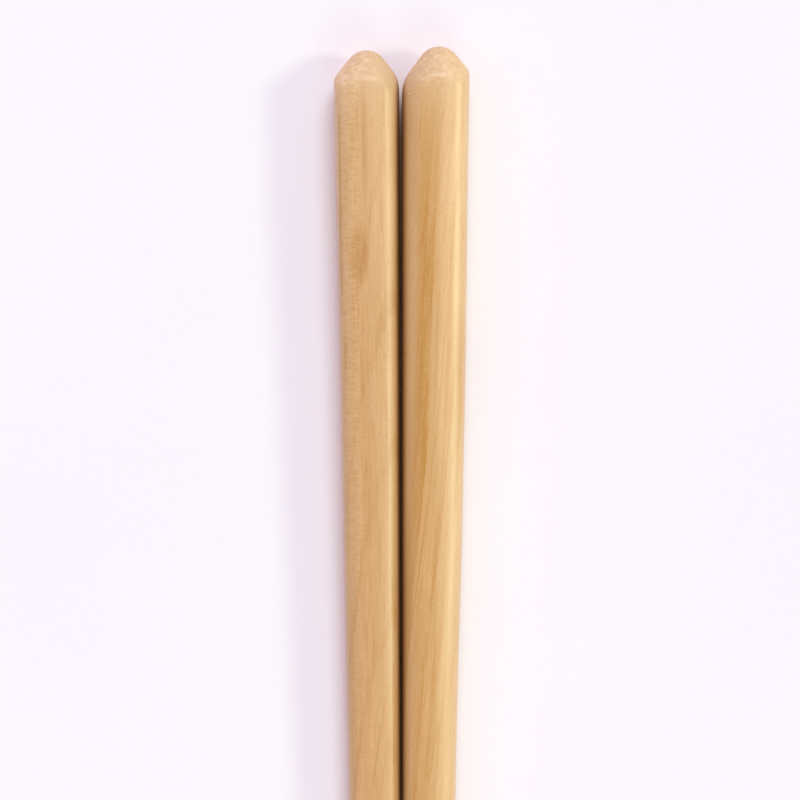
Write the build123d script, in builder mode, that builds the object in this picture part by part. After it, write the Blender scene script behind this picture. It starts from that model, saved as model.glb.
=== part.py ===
"""A pair of wooden chopsticks that lie side by side on a table.

Each stick is one piece of wood: a long square taper with its four long edges
bevelled and the bevels' ridges rounded over, a head that is turned to a blunt
domed cone and softened where the cone meets the flats, and a small rounded tip.
The second stick is a little wider, and its head was turned a little off its
centre, as on many hand-finished sticks.

Both sticks rest on one flat, with their inner flats side by side. They stand a
little apart at the heads and almost touch at the tips. Each axis falls towards
the tip by the stick's own half taper.

Frame: +Z up, +Y towards the heads, origin on the table in the middle of the
pair. Sizes are in millimetres and angles in degrees.
"""

import os
from math import asin, atan, degrees, radians, sin, sqrt, tan

from build123d import *

# Both sticks, across the flats
length = 225.0
head_width = 7.5
tip_width = 3.25
right_head_extra = 0.25

# Long edges: how far each bevel cuts into a flat, and the round on its ridges
edge_bevel = 1.1
ridge_round = 0.9
tip_round = 0.6

# Turned head: a ball nose that runs into a cone, and how far the right one stands off its stick's axis
nose_radius = 2.45
cone_angle = 38.0
head_arris = 1.5
right_head_offset = 0.4

# How the pair lies: the space between the inner flats, and how far the right head leads
head_gap = 0.31
tip_gap = 0.02
head_lead = 0.42


def half_taper(width):
    """Angle between a stick's axis and each of its flats, for its width at the head."""
    return degrees(atan((width - tip_width) / 2 / length))


def head_plane(side, width):
    """Plane across a stick's head end, with its Z down the axis to the tip and its Y up.

    The side is -1 for the left stick and 1 for the right one. The axis is tilted so that
    the underside lies on the table, and turned so that the space between the inner flats
    narrows evenly from the heads to the tips.
    """
    slope = sin(radians(half_taper(width)))
    toe_in = degrees(asin((head_gap - tip_gap) / 2 / length))
    lean = sin(radians(half_taper(width) + toe_in))
    axis = Vector(-side * lean, -sqrt(1 - lean**2 - slope**2), -slope)
    level = sqrt(1 - slope**2)
    up = (Vector(0, 0, 1) + axis * slope) / level
    half_across = width / 2 * level
    head_centre = (
        side * (head_gap / 2 + half_across) - right_head_extra / 2,
        side * head_lead / 2 - axis.Y * length / 2,
        half_across,
    )
    return Plane(origin=head_centre, x_dir=up.cross(axis), z_dir=axis)


def turned_outline(turning_plane, clear_radius):
    """Half section of a head's turned form: ball nose, cone, then clear of the wood to past the tip."""
    half_section = Plane(
        origin=turning_plane.origin,
        x_dir=turning_plane.x_dir,
        z_dir=-turning_plane.y_dir,
    )
    with BuildSketch(half_section) as outline:
        with BuildLine():
            nose = JernArc(start=(0, 0), tangent=(1, 0), radius=nose_radius, arc_size=90 - cone_angle)
            cone_start = nose @ 1
            cone_end = cone_start.Y + (clear_radius - cone_start.X) / tan(radians(cone_angle))
            past_tip = length + clear_radius
            Polyline(cone_start, (clear_radius, cone_end), (clear_radius, past_tip), (0, past_tip), (0, 0))
        make_face()
    return outline.sketch


def make_chopstick(side, width, head_offset=0.0):
    """One stick, lying on its flat. The head offset moves the turned form to the right of its axis."""
    end_plane = head_plane(side, width)
    turning_plane = Plane(
        origin=end_plane.origin + end_plane.x_dir * head_offset,
        x_dir=end_plane.x_dir,
        z_dir=end_plane.z_dir,
    )
    bevel = min(edge_bevel, 0.34 * tip_width)
    ridge_radius = min(ridge_round, 1.4 * bevel, tip_width - 2 * bevel)
    tip_radius = min(tip_round, 0.7 * ridge_radius)
    arris_radius = min(head_arris, 1.7 * ridge_radius)

    with BuildPart() as stick:
        # Square blank, drafted on its four long faces down to the tip
        with BuildSketch(end_plane):
            Rectangle(width, width)
        extrude(amount=length)
        flats = stick.faces().sort_by(SortBy.AREA)[-4:]
        draft(flats, neutral_plane=end_plane, angle=half_taper(width))

        # Bevelled long edges, their two ridges each, and the rim of the tip
        chamfer(stick.edges().sort_by(SortBy.LENGTH)[-4:], bevel)
        fillet(stick.edges().sort_by(SortBy.LENGTH)[-8:], ridge_radius)
        fillet(stick.faces().sort_by(Axis.Y)[0].edges(), tip_radius)

        # The turned form cuts an arch in each flat and a small one in each bevel
        turning_axis = Axis(turning_plane.origin, turning_plane.z_dir)
        revolve(turned_outline(turning_plane, width), axis=turning_axis, mode=Mode.INTERSECT)
        cone = stick.faces().filter_by(GeomType.CONE)[0]
        arches = cone.edges().filter_by(GeomType.HYPERBOLA)
        saddles = cone.edges().filter_by(GeomType.BSPLINE)
        fillet(arches + saddles, arris_radius)
    return stick


os.makedirs("parts", exist_ok=True)

left_chopstick = make_chopstick(-1, head_width)
left_chopstick.part.label = "left_chopstick"
export_step(left_chopstick.part, "parts/left_chopstick.step")

right_chopstick = make_chopstick(1, head_width + right_head_extra, right_head_offset)
right_chopstick.part.label = "right_chopstick"
export_step(right_chopstick.part, "parts/right_chopstick.step")
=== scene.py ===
"""The looks of a pair of wooden chopsticks that lie side by side on a pale table.

Each stick is one mesh, made from the same sizes as its solid: a square taper with gently
crowned flats and rounded long edges, and a head turned to a blunt domed cone. Its wood is a
solid texture, so that growth rings, fibres and pores run through every face.

Sizes are in metres, angles in degrees. A stick's own coordinates are u across, w up and
s along its axis from the head to the tip.
"""

from collections import namedtuple
from math import asin, atan, cos, degrees, pi, radians, sin, sqrt, tan

import bpy
import numpy as np
from mathutils import Euler, Matrix, Vector


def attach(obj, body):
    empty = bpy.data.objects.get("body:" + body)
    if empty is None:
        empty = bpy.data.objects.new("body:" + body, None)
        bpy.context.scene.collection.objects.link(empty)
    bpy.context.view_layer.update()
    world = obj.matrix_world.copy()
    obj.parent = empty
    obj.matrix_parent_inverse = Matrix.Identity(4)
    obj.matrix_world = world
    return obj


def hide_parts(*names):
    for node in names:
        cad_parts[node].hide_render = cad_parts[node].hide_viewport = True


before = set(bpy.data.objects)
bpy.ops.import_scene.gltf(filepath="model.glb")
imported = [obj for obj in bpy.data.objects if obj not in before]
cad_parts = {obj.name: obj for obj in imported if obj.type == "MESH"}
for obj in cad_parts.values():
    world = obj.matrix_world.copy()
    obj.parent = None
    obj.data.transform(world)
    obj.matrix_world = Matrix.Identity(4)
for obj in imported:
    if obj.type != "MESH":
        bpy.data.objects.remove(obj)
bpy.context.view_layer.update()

MM = 0.001
UP = Vector((0, 0, 1))

# Both sticks, as in their solids
LENGTH = 225 * MM
HEAD_WIDTH = 7.5 * MM
TIP_WIDTH = 3.25 * MM
RIGHT_HEAD_EXTRA = 0.25 * MM
EDGE_BEVEL = 1.1 * MM
TIP_ROUND = 0.6 * MM
NOSE_RADIUS = 2.45 * MM
CONE_ANGLE = 38
RIGHT_HEAD_OFFSET = 0.36 * MM
HEAD_GAP = 0.31 * MM
TIP_GAP = 0.02 * MM
HEAD_LEAD = 0.42 * MM

# Hand finish: how far the flats fall away at their edges, and how softly the bevels' ridges
# and the head's arrises turn. The sides that face each other were sanded down further.
TOP_CROWN = 0.2 * MM
SIDE_CROWN = 0.5 * MM
TOP_BLEND = 0.9 * MM
SIDE_BLEND = 0.4 * MM
ARRIS_BLEND = 0.34 * MM
OUTER_ARRIS_BLEND = 0.45 * MM
INNER_ARRIS_BLEND = 0.85 * MM
RIGHT_BEVEL = 1.3 * MM
INNER_BEVEL = 1.46 * MM
INNER_CROWN = 0.8 * MM

# Hand finish: how far a side swells, and where along the stick that starts, is full, fades and ends
INNER_SWELL = (0.065 * MM, 6 * MM, 22 * MM, 90 * MM, 160 * MM)
LEFT_SWELL = (-0.055 * MM, 14 * MM, 32 * MM, 70 * MM, 130 * MM)
RIGHT_SWELL = (0.19 * MM, 6 * MM, 40 * MM, 52 * MM, 76 * MM)

# How far out from the axis the head's arris starts and ends its change to the sides' own blend
ARRIS_CHANGE = (1.5 * MM, 3.2 * MM)

# Mesh: points around a stick, the spacing of its rings near the head and along the shaft, where
# the rays of the two ends start, and how often a ray is halved to find the surface
AROUND = 144
CORNER_CROWDING = 0.45
DOME_RINGS = 90
TIP_RINGS = 24
HEAD_SPACING = 0.12 * MM
SHAFT_SPACING = 0.75 * MM
DOME_CENTRE = 3.5 * MM
HEAD_END = 12 * MM
TIP_CENTRE = 1.6 * MM
HALVINGS = 44


# Form of a stick. Its side is -1 for the left stick and 1 for the right one, and its lean is the
# angle of the turned head towards +u, in degrees.

Stick = namedtuple("Stick", "name side head_width head_offset lean bevel swell")


def half_taper(head_width):
    """Angle between a stick's axis and each of its flats."""
    return degrees(atan((head_width - TIP_WIDTH) / 2 / LENGTH))


def stick_frame(side, head_width):
    """Matrix from a stick's own coordinates, in the order u, w, s, to the frame's."""
    slope = sin(radians(half_taper(head_width)))
    toe_in = degrees(asin((HEAD_GAP - TIP_GAP) / 2 / LENGTH))
    lean = sin(radians(half_taper(head_width) + toe_in))
    axis = Vector((-side * lean, -sqrt(1 - lean**2 - slope**2), -slope))
    level = sqrt(1 - slope**2)
    up = (UP + axis * slope) / level
    half_across = head_width / 2 * level
    head_centre = Vector((
        side * (HEAD_GAP / 2 + half_across) - RIGHT_HEAD_EXTRA / 2,
        side * HEAD_LEAD / 2 - axis.y * LENGTH / 2,
        half_across,
    ))
    turn = Matrix((up.cross(axis), up, axis)).transposed()
    return Matrix.Translation(head_centre) @ turn.to_4x4()


def smooth_max(a, b, blend):
    """The greater of two fields, rounded over where they come within the blend of each other."""
    near = np.clip(blend - np.abs(a - b), 0, None) / blend
    return np.maximum(a, b) + near**2 * blend / 4


def rounded_max(a, b, radius):
    """The greater of two distances, with a round edge of the given radius where they meet."""
    outside = np.hypot(np.clip(a + radius, 0, None), np.clip(b + radius, 0, None))
    return outside + np.minimum(np.maximum(a, b) + radius, 0) - radius


def eased(value, low, high):
    """0 below the low value, 1 above the high one, and an even curve between them."""
    part = np.clip((value - low) / (high - low), 0, 1)
    return part * part * (3 - 2 * part)


def swelling(s, amount, start, full, fade, end):
    """How far a side stands out at a place along the stick."""
    return amount * eased(s, start, full) * (1 - eased(s, fade, end))


def shaft_field(u, w, s, stick):
    """Distance outside a stick's tapered square body, with crowned flats and bevelled edges."""
    half = stick.head_width / 2 - s * tan(radians(half_taper(stick.head_width)))
    inner = u * stick.side < 0
    beside = np.abs(u) - np.where(inner, swelling(s, *INNER_SWELL), swelling(s, *stick.swell))
    across = beside - half + np.where(inner, INNER_CROWN, SIDE_CROWN) * (w / half) ** 2
    above = np.abs(w) - half + TOP_CROWN * (u / half) ** 2
    inner_bevel = INNER_BEVEL * half / (stick.head_width / 2)
    bevel = (beside + np.abs(w) - 2 * half + np.where(inner, inner_bevel, stick.bevel)) / sqrt(2)
    body = smooth_max(smooth_max(above, bevel, TOP_BLEND), across, SIDE_BLEND)
    return rounded_max(body, s - LENGTH, TIP_ROUND)


def turned_field(u, w, s, stick):
    """Distance outside the head's turned form: a ball nose that runs into a cone."""
    lean = radians(stick.lean)
    aside = u - stick.head_offset
    behind = s - NOSE_RADIUS
    reach = np.hypot(aside * cos(lean) - behind * sin(lean), w)
    back = behind * cos(lean) + aside * sin(lean)
    angle = radians(CONE_ANGLE)
    ball = np.hypot(reach, back) - NOSE_RADIUS
    cone = reach * cos(angle) - back * sin(angle) - NOSE_RADIUS
    return np.where(reach * sin(angle) + back * cos(angle) < 0, ball, cone)


def stick_field(points, stick):
    """Distance outside a stick, which is where its shaft and its turned form overlap."""
    u, w, s = points[..., 0], points[..., 1], points[..., 2]
    inward = (INNER_ARRIS_BLEND - ARRIS_BLEND) * eased(-stick.side * u, *ARRIS_CHANGE)
    outward = (OUTER_ARRIS_BLEND - ARRIS_BLEND) * eased(stick.side * u, *ARRIS_CHANGE)
    blend = ARRIS_BLEND + inward + outward
    return smooth_max(shaft_field(u, w, s, stick), turned_field(u, w, s, stick), blend)


def surface_points(origins, directions, field):
    """Points where rays that start inside the stick leave it, found by halving."""
    near = np.zeros(origins.shape[:-1])
    far = np.full_like(near, 2 * HEAD_WIDTH)
    for _ in range(HALVINGS):
        middle = (near + far) / 2
        inside = field(origins + directions * middle[..., None]) < 0
        near = np.where(inside, middle, near)
        far = np.where(inside, far, middle)
    return origins + directions * near[..., None]


def ring_rays(head_offset):
    """Origins and directions of the rays for every ring, from the apex of the head to the tip."""
    even = np.arange(AROUND) * 2 * pi / AROUND
    around = even + CORNER_CROWDING / 4 * np.sin(4 * even)
    ring = np.stack((np.cos(around), np.sin(around), np.zeros(AROUND)), axis=-1)

    tip_centre = LENGTH - TIP_CENTRE
    near_head = np.arange(DOME_CENTRE, HEAD_END, HEAD_SPACING)
    shaft = np.linspace(HEAD_END, tip_centre, round((tip_centre - HEAD_END) / SHAFT_SPACING))
    opening = (np.arange(DOME_RINGS) + 1) / (DOME_RINGS + 1) * pi / 2
    closing = np.arange(1, TIP_RINGS + 1) / (TIP_RINGS + 1) * pi / 2

    dome = np.full(DOME_RINGS, DOME_CENTRE)
    tip = np.full(TIP_RINGS, tip_centre)
    places = np.concatenate((dome, near_head, shaft, tip))
    level = np.zeros(len(near_head) + len(shaft))
    lean = np.concatenate((opening - pi / 2, level, closing))
    directions = ring * np.cos(lean)[:, None, None]
    directions[..., 2] = np.sin(lean)[:, None]
    origins = np.zeros_like(directions)
    origins[..., 2] = places[:, None]

    # The rays start from the turned form's axis at the head and from the stick's own further on
    off_axis = head_offset * np.clip((HEAD_END - places) / (HEAD_END - DOME_CENTRE), 0, 1)
    origins[..., 0] = off_axis[:, None]
    return origins, directions


def stick_faces(rings):
    """Quads between the rings, and fans that close the apex and the tip."""
    start = np.arange(rings - 1)[:, None] * AROUND
    here = np.arange(AROUND)[None, :]
    after = (here + 1) % AROUND
    beyond = start + AROUND
    quads = np.stack((start + here, beyond + here, beyond + after, start + after), axis=-1)
    apex = rings * AROUND
    last = (rings - 1) * AROUND
    fans = [(apex, i, (i + 1) % AROUND) for i in range(AROUND)]
    fans += [(apex + 1, last + (i + 1) % AROUND, last + i) for i in range(AROUND)]
    return quads.reshape(-1, 4).tolist() + fans


def make_stick(stick, material):
    """One stick as a mesh in the frame, with its own coordinates and its arris kept for its wood."""
    def field(points):
        return stick_field(points, stick)

    origins, directions = ring_rays(stick.head_offset)
    rings = len(origins)
    ends = surface_points(
        np.array(((stick.head_offset, 0, DOME_CENTRE), (0, 0, LENGTH - TIP_CENTRE))),
        np.array(((0, 0, -1), (0, 0, 1))),
        field,
    )
    local = np.concatenate((surface_points(origins, directions, field).reshape(-1, 3), ends))

    place = np.array(stick_frame(stick.side, stick.head_width))
    mesh = bpy.data.meshes.new(stick.name + "_stick")
    mesh.from_pydata(local @ place[:3, :3].T + place[:3, 3], [], stick_faces(rings))
    mesh.shade_smooth()

    u, w, s = local.T
    ridge = turned_field(u, w, s, stick) - shaft_field(u, w, s, stick)
    own = mesh.attributes.new("stick", "FLOAT_VECTOR", "POINT")
    own.data.foreach_set("vector", (local / MM).ravel())
    turned = mesh.attributes.new("ridge", "FLOAT", "POINT")
    turned.data.foreach_set("value", ridge / MM)

    piece = bpy.data.objects.new(stick.name + "_stick", mesh)
    bpy.context.scene.collection.objects.link(piece)
    mesh.materials.append(material)
    return piece


# Materials

def colour(red, green, blue):
    return (red, green, blue, 1)


# A noise: how many times it changes in a unit of its place in each direction, where in the noise
# it starts, and its detail and roughness. In the wood the unit is a millimetre, and the directions
# are u, w and s; on the paper it is a metre.
Noise = namedtuple("Noise", "rates shift detail roughness", defaults=(0.5,))

FIBRE = Noise((3.2, 3.2, 0.09), (5, 7, 1), 4, 0.65)
FINE_GRAIN = Noise((9, 9, 0.45), (2, 9, 4), 3, 0.6)
PORES = Noise((8, 8, 0.7), (8, 3, 6), 1)
VEINS = Noise((0.9, 0.9, 0.02), (9, 2, 5), 2)
VEIN_BREAKS = Noise((1.5, 1.5, 0.12), (4, 8, 1), 1)
SPECKLE = Noise((4.5, 4.5, 3.5), (3, 6, 8), 3, 0.7)
CLOUDS = Noise((0.5, 0.5, 0.05), (3, 1, 2), 3)
MOTTLE = Noise((1.6, 1.6, 2.0), (1, 4, 6), 4, 0.7)
BROWN_PATCHES = Noise((1.0, 1.0, 1.3), (7, 7, 2), 3, 0.6)
ARRIS_BREAKS = Noise((1.4, 1.4, 1.4), (6, 2, 8), 2)
LEFT_WANDER = Noise((0.35, 0.35, 0.05), (4, 2, 9), 2)
LEFT_RING_DEPTH = Noise((0.2, 0.2, 0.06), (1, 5, 3), 1)
RIPPLE = Noise((0.9, 0.9, 4.0), (6, 5, 3), 2)
RIGHT_WANDER = Noise((0.3, 0.3, 0.03), (7, 3, 1), 2)
THIN_FIBRE_BREAKS = Noise((1.2, 1.2, 0.11), (2, 2, 7), 1)
PAPER_CLOUDS = Noise((25, 25, 25), (0, 0, 0), 3)
PAPER_GRAIN = Noise((900, 900, 900), (0, 0, 0), 3)

# A single dark fibre: how far it drifts across for each millimetre along, where it would cross the
# head's end, its half width, where along the stick it starts, is full, fades and ends, and how much
# darker it is. Its places and width are in millimetres.
Fibre = namedtuple("Fibre", "drift at width start full fade end depth")

LEFT_FIBRES = (
    Fibre(0, -3.11, 0.13, 5, 9, 24, 34, 0.42),
    Fibre(0.16, 13.1, 0.15, 71, 75, 81, 85, 0.16),
    Fibre(0, 1.84, 0.11, 36, 40, 50, 54, 0.14),
)
RIGHT_FIBRES = (
    Fibre(0.1246, 6, 0.12, 49, 53, 69, 73, 0.24),
    Fibre(0.0854, 5.61, 0.14, 35, 39, 56, 60, 0.15),
)

# How far apart the left stick's rings lie, and over what length and how far the right stick's
# sway from side to side, in millimetres
LEFT_RING_SPACING = 4
SWAY_LENGTH = 65
SWAY = 0.365

# The right stick's rings: how long their pattern is before it repeats, where it starts, where its
# first ring lies, and how dark the wood is at places counted from that ring, in millimetres
RING_SPAN = 14
RING_START = -6
FIRST_RING = 2.546
RIGHT_RINGS = (
    (-3.6, 0.1),
    (-2.2, 0.15),
    (-1.0, 1.0),
    (-0.2, 0.9),
    (0.35, 0.1),
    (1.6, 0.1),
    (2.15, 0.5),
    (2.6, 0.1),
    (3.5, 0.5),
    (3.9, 0.05),
    (5.4, 0.5),
    (5.9, 0.05),
)


class Graph:
    """A material's nodes. The methods for a pattern add what it needs and return its output."""

    def __init__(self, name):
        self.material = bpy.data.materials.new(name)
        self.material.use_nodes = True
        self.tree = self.material.node_tree
        self.tree.nodes.clear()

    def node(self, kind, inputs=(), **settings):
        made = self.tree.nodes.new(kind)
        for key, value in settings.items():
            setattr(made, key, value)
        for key, value in dict(inputs).items():
            self.feed(made.inputs[key], value)
        return made

    def feed(self, socket, value):
        if isinstance(value, bpy.types.NodeSocket):
            self.tree.links.new(value, socket)
        else:
            socket.default_value = value

    def math(self, operation, *values):
        made = self.node("ShaderNodeMath", operation=operation)
        for socket, value in zip(made.inputs, values):
            self.feed(socket, value)
        return made.outputs[0]

    def chain(self, operation, values):
        """Numbers joined by one operation, in their order."""
        result = values[0]
        for value in values[1:]:
            result = self.math(operation, result, value)
        return result

    def total(self, *values):
        return self.chain("ADD", values)

    def product(self, *values):
        return self.chain("MULTIPLY", values)

    def attribute(self, name, output="Fac"):
        return self.node("ShaderNodeAttribute", attribute_name=name).outputs[output]

    def noise(self, vector, kind):
        stretch = {"Vector": vector, "Scale": kind.rates, "Location": kind.shift}
        place = self.node("ShaderNodeMapping", stretch).outputs[0]
        inputs = {"Vector": place, "Scale": 1.0, "Detail": kind.detail, "Roughness": kind.roughness}
        return self.node("ShaderNodeTexNoise", inputs).outputs["Fac"]

    def band(self, value, low, high, to_low=0.0, to_high=1.0):
        """An even curve from one number to another while the value goes from low to high."""
        source = {"Value": value, "From Min": low, "From Max": high}
        target = {"To Min": to_low, "To Max": to_high}
        made = self.node("ShaderNodeMapRange", source | target, interpolation_type="SMOOTHSTEP")
        return made.outputs[0]

    def between(self, value, start, full, fade, end):
        """0 up to the start and from the end on, and 1 from where it is full to where it fades."""
        return self.product(self.band(value, start, full), self.band(value, end, fade))

    def ramp(self, value, stops):
        """A grey for each value from 0 to 1, eased between the stops."""
        made = self.node("ShaderNodeValToRGB", {"Fac": value})
        ramp = made.color_ramp
        ramp.interpolation = "EASE"
        while len(ramp.elements) < len(stops):
            ramp.elements.new(0.5)
        for element, (place, shade) in zip(ramp.elements, stops):
            element.position = place
            element.color = (shade, shade, shade, 1)
        return made.outputs[0]

    def mix(self, factor, a, b, blend="MIX"):
        """Colour a turned into colour b by a factor. A Mix node takes its colours at 6 and 7."""
        made = self.node("ShaderNodeMix", data_type="RGBA", blend_type=blend)
        made.clamp_result = False
        self.feed(made.inputs[0], factor)
        self.feed(made.inputs[6], a)
        self.feed(made.inputs[7], b)
        return made.outputs[2]

    def spot(self, vector, place, size):
        """1 in the middle of a small soft-edged spot and 0 outside it."""
        away = self.node("ShaderNodeVectorMath", {0: vector, 1: place}, operation="SUBTRACT")
        scaled = self.node("ShaderNodeVectorMath", {0: away.outputs[0], 1: size}, operation="DIVIDE")
        reach = self.node("ShaderNodeVectorMath", {0: scaled.outputs[0]}, operation="LENGTH")
        return self.band(reach.outputs["Value"], 1.0, 0.4)

    def finish(self, surface):
        output = self.node("ShaderNodeOutputMaterial")
        self.tree.links.new(surface.outputs[0], output.inputs["Surface"])
        return self.material


def along(g, own, u_rate, w_rate, s_rate):
    """A number that rises by the given rates in each direction of a place."""
    rates = {0: own, 1: (u_rate, w_rate, s_rate)}
    made = g.node("ShaderNodeVectorMath", rates, operation="DOT_PRODUCT")
    return made.outputs["Value"]


def line(g, place, at, width):
    """1 on a thin line where a place has the given value."""
    away = g.math("ABSOLUTE", g.math("SUBTRACT", place, at))
    return g.band(away, width, 0.3 * width)


def fibres(g, own, kinds):
    """How much each of the single dark fibres changes the tone."""
    changes = []
    for kind in kinds:
        thread = line(g, along(g, own, 1, 0, kind.drift), kind.at, kind.width)
        here = g.between(along(g, own, 0, 0, 1), kind.start, kind.full, kind.fade, kind.end)
        changes.append(g.product(thread, here, -kind.depth))
    return changes


def wood(stick, dark, slant, painted_gap_shade, tone_at, painted_dome_shade_at):
    """Satin wood between the given dark tone and a pale one. The slant is how far the fibres drift
    across for each millimetre along the stick, and the painted gap shade how strong the painted
    shade on the side by the gap is. Both functions take the graph and the stick's own coordinates:
    one returns where the wood lies between its tones, and the other how much darker the sanded
    dome is than at its palest, mostly by painted shade."""
    g = Graph("pale_wood_" + stick.name)
    own = g.attribute("stick", "Vector")
    ridge = g.attribute("ridge")
    across = along(g, own, 1, 0, 0)
    behind = along(g, own, 0, 0, 1)
    slanted = {0: along(g, own, 1, 0, slant), 1: along(g, own, 0, 1, 0), 2: behind}
    grain = g.node("ShaderNodeCombineXYZ", slanted).outputs[0]

    # Fibres, pores, broken veins and a fine speckle
    fibre = g.noise(grain, FIBRE)
    fine = g.noise(grain, FINE_GRAIN)
    pores = g.band(g.noise(grain, PORES), 0.66, 0.78)
    veins = line(g, g.noise(grain, VEINS), 0.47, 0.022)
    broken_veins = g.band(g.noise(grain, VEIN_BREAKS), 0.4, 0.6)
    speckle = g.noise(own, SPECKLE)
    pale = colour(0.94, 0.62, 0.325)
    tone = g.total(
        tone_at(g, own),
        g.band(g.noise(own, CLOUDS), 0.25, 0.75, -0.05, 0.05),
        g.band(fibre, 0.25, 0.75, -0.07, 0.07),
        g.band(fine, 0.2, 0.8, -0.08, 0.08),
        g.band(speckle, 0.3, 0.7, -0.06, 0.06),
        g.product(pores, -0.12),
        g.product(veins, broken_veins, -0.13),
    )
    tint = g.mix(tone, dark, pale)

    # A painted reflection of the pale table lightens the left ridge a little, and painted shade
    # darkens the side by the gap
    painted_sheen = colour(0.63, 0.47, 0.27)
    tint = g.mix(g.band(across, -1.4, -2.6, 0.0, 0.25), tint, painted_sheen)
    # Painted shade on the side that faces the other stick, where the sticks shade each other
    toward_gap = along(g, own, -stick.side, 0, tan(radians(half_taper(stick.head_width))))
    inset = g.math("SUBTRACT", stick.head_width / 2 / MM, toward_gap)
    painted_shade_colour = g.mix(1.0, tint, colour(0.35, 0.24, 0.13), "MULTIPLY")
    reach = g.band(behind, 20, 60, 0.82, 0.62)
    painted_shade_here = g.product(g.band(behind, 3, 14, 0.8, 1.0), painted_gap_shade)
    tint = g.mix(g.product(g.band(inset, reach, 0.01), painted_shade_here), tint, painted_shade_colour)

    # The dome is sanded: mottled, with brown patches and yellower on its right. It is darker at its
    # apex, and painted shade darkens it towards the gap
    mottle = g.noise(own, MOTTLE)
    sanded_dark = colour(0.80, 0.525, 0.315)
    sanded_pale = colour(0.955, 0.675, 0.43)
    sanded = g.mix(g.band(mottle, 0.38, 0.62), sanded_dark, sanded_pale)
    sanded = g.mix(g.band(across, 0.3, 2.4, 0.0, 0.65), sanded, colour(0.90, 0.615, 0.31))
    brown = g.band(g.noise(own, BROWN_PATCHES), 0.5, 0.6, 0.0, 0.65)
    sanded = g.mix(brown, sanded, colour(0.79, 0.49, 0.26))
    painted_dome_shade = g.total(painted_dome_shade_at(g, own), g.band(behind, 1.7, 0.3, 0.0, 0.35))
    sanded = g.mix(painted_dome_shade, sanded, colour(0.68, 0.43, 0.235))

    # Its dust reaches a little over the arris, along which a broken pale line is a painted highlight
    dusted = g.total(g.band(ridge, -3.4, -0.8, 0.0, 0.3), g.band(ridge, -0.9, 0.25, 0.0, 0.55))
    tint = g.mix(dusted, tint, sanded)
    broken = g.band(g.noise(own, ARRIS_BREAKS), 0.4, 0.65)
    painted_arris_highlight = g.product(g.band(g.math("ABSOLUTE", ridge), 0.11, 0.02), broken)
    tint = g.mix(g.product(painted_arris_highlight, 0.22), tint, colour(0.97, 0.74, 0.50))

    # Fibres stand up a little and pores are sunk, and the dome is duller than the satin shaft
    height = g.total(g.product(fibre, 0.6), g.product(fine, 0.4))
    height = g.math("SUBTRACT", height, g.product(pores, 0.5))
    bump = g.node("ShaderNodeBump", {"Height": height, "Distance": 0.012 * MM, "Strength": 1.0})
    satin = g.band(fine, 0.2, 0.8, 0.30, 0.38)
    sanding = g.band(ridge, -0.6, 0.1, 0.0, 0.2)
    surface = g.node("ShaderNodeBsdfPrincipled", {
        "Base Color": tint,
        "Roughness": g.total(satin, sanding),
        "Normal": bump.outputs[0],
        "IOR": 1.5,
        "Specular IOR Level": 0.5,
    })
    return g.finish(surface)


def left_tone(g, own):
    """Paler to the right and near the head, with rings that cross the upper flat on a slant."""
    across = along(g, own, 1, 0, 0)
    behind = along(g, own, 0, 0, 1)
    wander = g.noise(own, LEFT_WANDER)
    place = g.total(along(g, own, 1, 1.2, 0.25), -0.6, g.product(wander, 3.0))
    turn = g.math("FRACT", g.math("DIVIDE", place, LEFT_RING_SPACING))
    rings = g.ramp(turn, ((0.0, 0.1), (0.38, 0.25), (0.55, 1.0), (0.68, 0.15), (1.0, 0.1)))
    ring_depth = g.band(g.noise(own, LEFT_RING_DEPTH), 0.35, 0.65, -0.09, -0.19)

    # Cross ripples by the left ridge, a dark streak and a dark patch on the flat, and a dark band
    # beside the gap
    ripple = g.band(g.noise(own, RIPPLE), 0.3, 0.7, -1.0, 1.0)
    ripple_here = g.product(g.band(across, -0.4, -1.6), g.band(behind, 75, 20, 0.4, 1.0))
    streak = line(g, g.total(across, g.product(wander, 0.5)), -0.03, 0.5)
    streak_here = g.between(behind, 4.2, 6, 13, 19)
    patch = g.spot(own, (-1.1, 3.6, 23.3), (1.6, 3.0, 4.5))
    beside_gap = line(g, along(g, own, 1, 0, 0.0094), 3.12, 0.36)
    return g.total(
        0.38,
        g.band(along(g, own, 1, 0.3, 0), 0.2, 3.6, 0.0, 0.17),
        g.band(behind, 5, 32, 0.12, 0.0),
        g.product(rings, ring_depth),
        g.product(ripple, ripple_here, 0.11),
        g.product(streak, streak_here, -0.18),
        g.product(patch, -0.24),
        g.product(beside_gap, g.band(behind, 36, 60), -0.26),
        *fibres(g, own, LEFT_FIBRES),
    )


def left_dome_painted_shade(g, own):
    """Painted shade that darkens it towards its right side, by the gap."""
    return g.band(along(g, own, 1, 0, 0), -0.6, 3.4, 0.0, 0.9)


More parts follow.
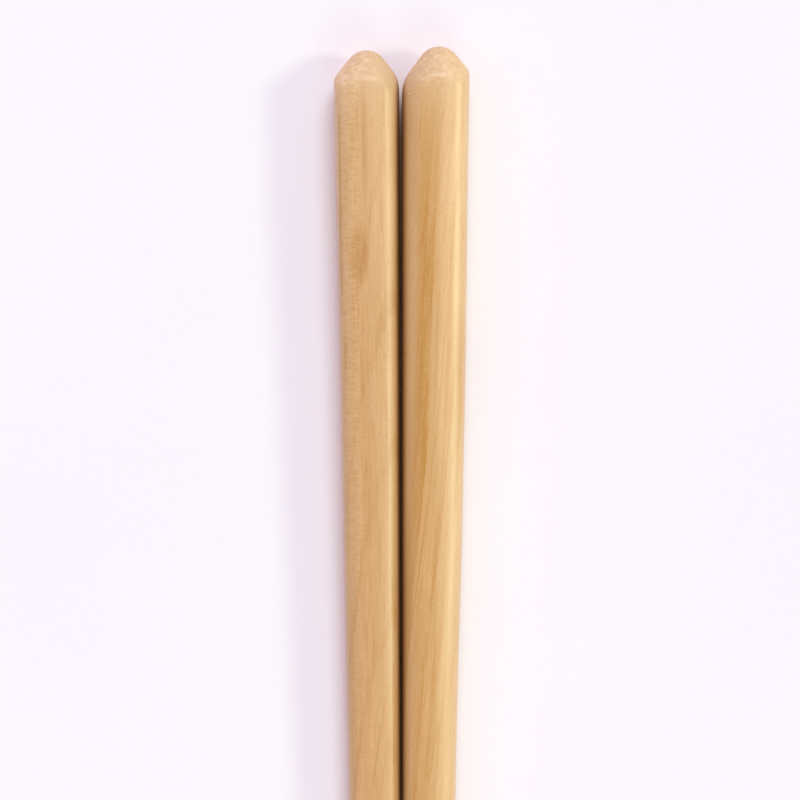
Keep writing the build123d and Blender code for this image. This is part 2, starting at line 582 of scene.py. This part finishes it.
def right_tone(g, own):
    """Pale along its right side, there partly a painted highlight, with rings that drift over the
    upper flat from right to left.
    """
    across = along(g, own, 1, 0, 0)
    behind = along(g, own, 0, 0, 1)
    rightward = along(g, own, 1, 0.15, 0)
    sway = g.product(g.math("SINE", g.product(behind, 2 * pi / SWAY_LENGTH)), SWAY)
    wander = g.product(g.noise(own, RIGHT_WANDER), 0.8)
    place = g.total(along(g, own, 1, 0.15, 0.0611), sway, wander)
    turn = g.math("FRACT", g.math("DIVIDE", g.math("SUBTRACT", place, RING_START), RING_SPAN))
    first = FIRST_RING - RING_START
    rings = g.ramp(turn, [((first + at) / RING_SPAN, shade) for at, shade in RIGHT_RINGS])

    # Thin dark fibres along the rings
    thin = g.total(
        line(g, place, 2.50, 0.13),
        g.product(line(g, place, 3.35, 0.10), 0.6),
        line(g, place, 4.62, 0.12),
        g.product(line(g, place, 1.62, 0.12), 0.8),
    )
    thin_here = g.band(g.noise(own, THIN_FIBRE_BREAKS), 0.38, 0.55)
    thin_depth = g.band(behind, 8, 30, -0.06, -0.15)

    # A darker stretch of the right ridge, painted where its highlight is weaker, and a nick in the
    # left bevel with its shadow
    painted_weak_highlight = g.product(g.band(across, 1.5, 2.3), g.between(behind, 28, 35, 40, 47))
    nick_size = (0.28, 2.0, 0.11)
    nick = g.spot(own, (-2.95, 3.2, 5.66), nick_size)
    nick_shadow = g.spot(own, (-2.95, 3.2, 5.87), nick_size)
    return g.total(
        0.32,
        g.band(rightward, -0.9, 0.5, 0.0, 0.15),
        g.band(rightward, 0.8, 1.4, 0.0, 0.16),
        # Paler over the right bevel and ridge: partly the wood's own tone and partly a painted
        # highlight
        g.product(g.band(rightward, 0.9, 3.2), g.band(behind, 30, 60, 0.28, 0.22)),
        g.product(rings, g.band(behind, 6, 22, -0.10, -0.27)),
        g.product(painted_weak_highlight, -0.16),
        g.product(thin, thin_here, thin_depth),
        *fibres(g, own, RIGHT_FIBRES),
        g.product(nick, 0.8),
        g.product(nick_shadow, -0.5),
    )


def right_dome_painted_shade_and_chip(g, own):
    """Painted shade that darkens it towards the gap, a little darkening towards its outer side, and
    a small chip in the arch.
    """
    across = along(g, own, 1, 0, 0)
    chip = g.spot(own, (-1.22, 3.6, 3.48), (0.16, 2.0, 0.12))
    return g.total(g.band(across, 0.2, -3.0, 0.0, 0.5), g.band(across, 0.8, 3.0, 0.0, 0.2), chip)


# Floor, lamps and camera

FLOOR_WIDTH = 8.0


def paper():
    """Pale lavender-white paper with a faint unevenness, and painted reflection and painted shadow
    between the sticks.
    """
    g = Graph("table_paper")
    place = g.node("ShaderNodeTexCoord").outputs["Object"]
    cloud = g.noise(place, PAPER_CLOUDS)
    grain = g.noise(place, PAPER_GRAIN)
    tint = g.mix(cloud, colour(0.96, 0.895, 0.96), colour(0.99, 0.935, 0.99))

    # Painted light in the narrow space between the sticks: a pale pink painted reflection of light
    # off the wood by the heads, and from there to the tips a brown painted shadow, tinted by light
    # bounced off the wood
    beside = g.math("ABSOLUTE", g.total(along(g, place, 1, 0, 0), RIGHT_HEAD_EXTRA / 2))
    toward_head = along(g, place, 0, 1, 0)
    painted_bounce_here = g.between(toward_head, 80 * MM, 90 * MM, 107 * MM, 111 * MM)
    painted_bounce = g.product(g.band(beside, 1.5 * HEAD_GAP, HEAD_GAP), painted_bounce_here)
    tint = g.mix(painted_bounce, tint, colour(0.98, 0.83, 0.78))
    painted_gap_shadow_here = g.between(toward_head, -112 * MM, -110 * MM, 102 * MM, 107 * MM)
    painted_gap_shadow = g.product(g.band(beside, HEAD_GAP, 0.4 * HEAD_GAP), painted_gap_shadow_here, 0.85)
    tint = g.mix(painted_gap_shadow, tint, colour(0.75, 0.42, 0.16))

    bump = g.node("ShaderNodeBump", {"Height": grain, "Distance": 0.03 * MM, "Strength": 1.0})
    surface = g.node("ShaderNodeBsdfPrincipled", {
        "Base Color": tint,
        "Roughness": 0.9,
        "Normal": bump.outputs[0],
        "Specular IOR Level": 0.1,
    })
    return g.finish(surface)


def make_floor():
    """A wide square of the paper under the sticks."""
    half = FLOOR_WIDTH / 2
    corners = [(-half, -half, 0), (half, -half, 0), (half, half, 0), (-half, half, 0)]
    mesh = bpy.data.meshes.new("floor")
    mesh.from_pydata(corners, [], [(0, 1, 2, 3)])
    floor = bpy.data.objects.new("floor", mesh)
    bpy.context.scene.collection.objects.link(floor)
    mesh.materials.append(paper())


def add_lamp(name, toward_right, toward_head, spread, share, tint):
    """A distant round lamp. Its place is the angle that it leans from overhead towards +X and
    +Y, and its share is how much of a white table's brightness it gives."""
    light = bpy.data.lights.new(name, "SUN")
    light.angle = radians(spread)
    direction = Vector((tan(radians(toward_right)), tan(radians(toward_head)), 1)).normalized()
    light.energy = share * pi / direction.z
    light.color = tint
    lamp = bpy.data.objects.new(name, light)
    bpy.context.scene.collection.objects.link(lamp)
    lamp.rotation_euler = direction.to_track_quat("Z", "Y").to_euler()
    lamp.visible_camera = False


def set_world(share, tint):
    """Soft light from all round, and a pale backdrop where the camera looks past the table."""
    world = bpy.data.worlds.new("studio")
    world.use_nodes = True
    tree = world.node_tree
    tree.nodes.clear()
    ambient = tree.nodes.new("ShaderNodeBackground")
    ambient.inputs["Color"].default_value = colour(*tint)
    ambient.inputs["Strength"].default_value = share
    backdrop = tree.nodes.new("ShaderNodeBackground")
    backdrop.inputs["Color"].default_value = colour(0.98, 0.93, 0.98)
    backdrop.inputs["Strength"].default_value = 1.0
    ray = tree.nodes.new("ShaderNodeLightPath")
    choose = tree.nodes.new("ShaderNodeMixShader")
    output = tree.nodes.new("ShaderNodeOutputWorld")
    tree.links.new(ray.outputs["Is Camera Ray"], choose.inputs[0])
    tree.links.new(ambient.outputs[0], choose.inputs[1])
    tree.links.new(backdrop.outputs[0], choose.inputs[2])
    tree.links.new(choose.outputs[0], output.inputs["Surface"])
    bpy.context.scene.world = world


def set_camera():
    """Straight above the heads and turned a trace clockwise. The view's width is that at the level
    where the sticks are widest."""
    height = 350 * MM
    widest_level = 3.75 * MM
    view_width = 90.8 * MM
    centre = (-0.24 * MM, 72.6 * MM)
    clockwise = 0.07
    camera = bpy.data.cameras.new("camera")
    camera.sensor_width = 36
    camera.lens = camera.sensor_width / 2 / (view_width / 2 / height)
    camera.clip_start = 10 * MM
    camera.clip_end = 20
    eye = bpy.data.objects.new("camera", camera)
    bpy.context.scene.collection.objects.link(eye)
    eye.location = (*centre, height + widest_level)
    eye.rotation_euler = Euler((0, 0, radians(-clockwise)))
    bpy.context.scene.camera = eye


set_camera()
make_floor()
set_world(share=0.38, tint=(1.0, 0.84, 0.81))
for name, toward_right, toward_head, spread, share, tint in (
    ("overhead", 7, 32, 32, 0.485, (0.76, 0.88, 1.0)),
    ("key", 52, 0, 12, 0.145, (0.85, 1.0, 0.73)),
    ("fill", -35, 0, 50, 0.09, (1.0, 0.65, 0.82)),
    ("low", 15, -48, 20, 0.07, (0.55, 1.0, 0.75)),
):
    add_lamp(name, toward_right, toward_head, spread, share, tint)

left = Stick(
    name="left",
    side=-1,
    head_width=HEAD_WIDTH,
    head_offset=0.0,
    lean=-1.0,
    bevel=EDGE_BEVEL,
    swell=LEFT_SWELL,
)
right = Stick(
    name="right",
    side=1,
    head_width=HEAD_WIDTH + RIGHT_HEAD_EXTRA,
    head_offset=RIGHT_HEAD_OFFSET,
    lean=2.0,
    bevel=RIGHT_BEVEL,
    swell=RIGHT_SWELL,
)
left_wood = wood(
    left,
    dark=colour(0.56, 0.265, 0.078),
    slant=0.0,
    painted_gap_shade=1.0,
    tone_at=left_tone,
    painted_dome_shade_at=left_dome_painted_shade,
)
right_wood = wood(
    right,
    dark=colour(0.57, 0.27, 0.055),
    slant=0.075,
    painted_gap_shade=0.52,
    tone_at=right_tone,
    painted_dome_shade_at=right_dome_painted_shade_and_chip,
)
for stick, material in ((left, left_wood), (right, right_wood)):
    piece = make_stick(stick, material)
    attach(piece, "root")
    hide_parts(stick.name + "_chopstick")

bpy.context.scene.view_settings.view_transform = "Standard"
